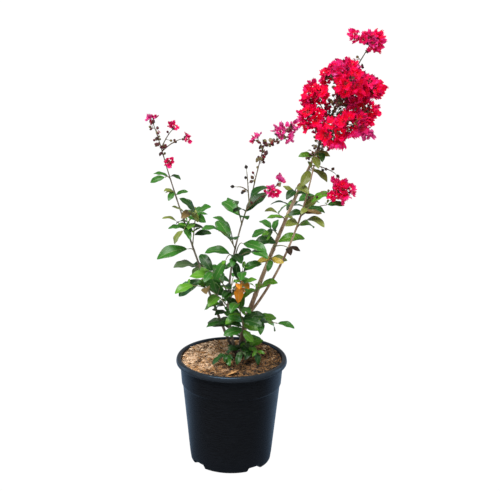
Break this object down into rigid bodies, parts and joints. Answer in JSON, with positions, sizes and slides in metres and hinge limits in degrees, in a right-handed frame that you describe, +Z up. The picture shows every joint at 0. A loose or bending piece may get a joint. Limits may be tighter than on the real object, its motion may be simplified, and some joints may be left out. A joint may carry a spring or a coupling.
{
  "type": "potted crape myrtle tree",
  "caption": "Young crape myrtle with slender leaning stems, arching leaf shoots and a crimson flower panicle, standing in a tall black nursery pot.",
  "frame": {"origin": "centre of the pot's flat underside, on the ground", "axes": "+Z up along the pot's axis; +X to the right, the side that the flower panicle leans to; +Y to the back"},
  "size_m": [0.5343, 0.2839, 1.0367],
  "materials": {
    "pot": "satin black",
    "soil": "coarse bark and coir, rough",
    "bark": "smooth tan-brown bark",
    "leaves": "glossy green leaf",
    "blossom": "crimson crinkled petals"
  },
  "bodies": {
    "root": {"bloom_back": "blossom", "bloom_front": "blossom", "bloom_high": "blossom", "bloom_high_left": "blossom", "bloom_left": "blossom", "bloom_low": "blossom", "bloom_low_left": "blossom", "bloom_low_right": "blossom", "bloom_right": "blossom", "bloom_tip": "blossom", "bough_outer": "bark", "bough_right": "bark", "leaves_foot_back": "leaves", "leaves_foot_left": "leaves", "leaves_foot_right": "leaves", "leaves_left_curl": "leaves", "leaves_left_fan": "leaves", "leaves_left_high": "leaves", "leaves_left_low_back": "leaves", "leaves_left_mid_back": "leaves", "leaves_left_mid_out": "leaves", "leaves_left_paddle": "leaves", "leaves_left_tiny": "leaves", "leaves_low_heart": "leaves", "leaves_low_left": "leaves", "leaves_low_right": "leaves", "leaves_middle_back": "leaves", "leaves_middle_heart": "leaves", "leaves_middle_high_left": "leaves", "leaves_middle_inner_left": "leaves", "leaves_middle_left": "leaves", "leaves_middle_low_left": "leaves", "leaves_middle_right": "leaves", "leaves_middle_sweep_left": "leaves", "leaves_middle_top": "leaves", "leaves_middle_top_left": "leaves", "leaves_right_back": "leaves", "leaves_right_crown": "leaves", "leaves_right_gold": "leaves", "leaves_right_high": "leaves", "leaves_right_inner": "leaves", "leaves_right_low": "leaves", "leaves_right_mid": "leaves", "leaves_right_notch": "leaves", "leaves_right_outer": "leaves", "leaves_right_top_left": "leaves", "leaves_right_wing": "leaves", "panicle_axis": "bark", "pot": "pot", "seed_head_middle": "blossom", "seed_head_right": "blossom", "soil": "soil", "spray_left": "blossom", "spray_middle": "blossom", "spray_side": "blossom", "spray_spent": "blossom", "stem_left": "bark", "stem_middle": "bark", "trunk": "bark"}
  },
  "joints": []
}
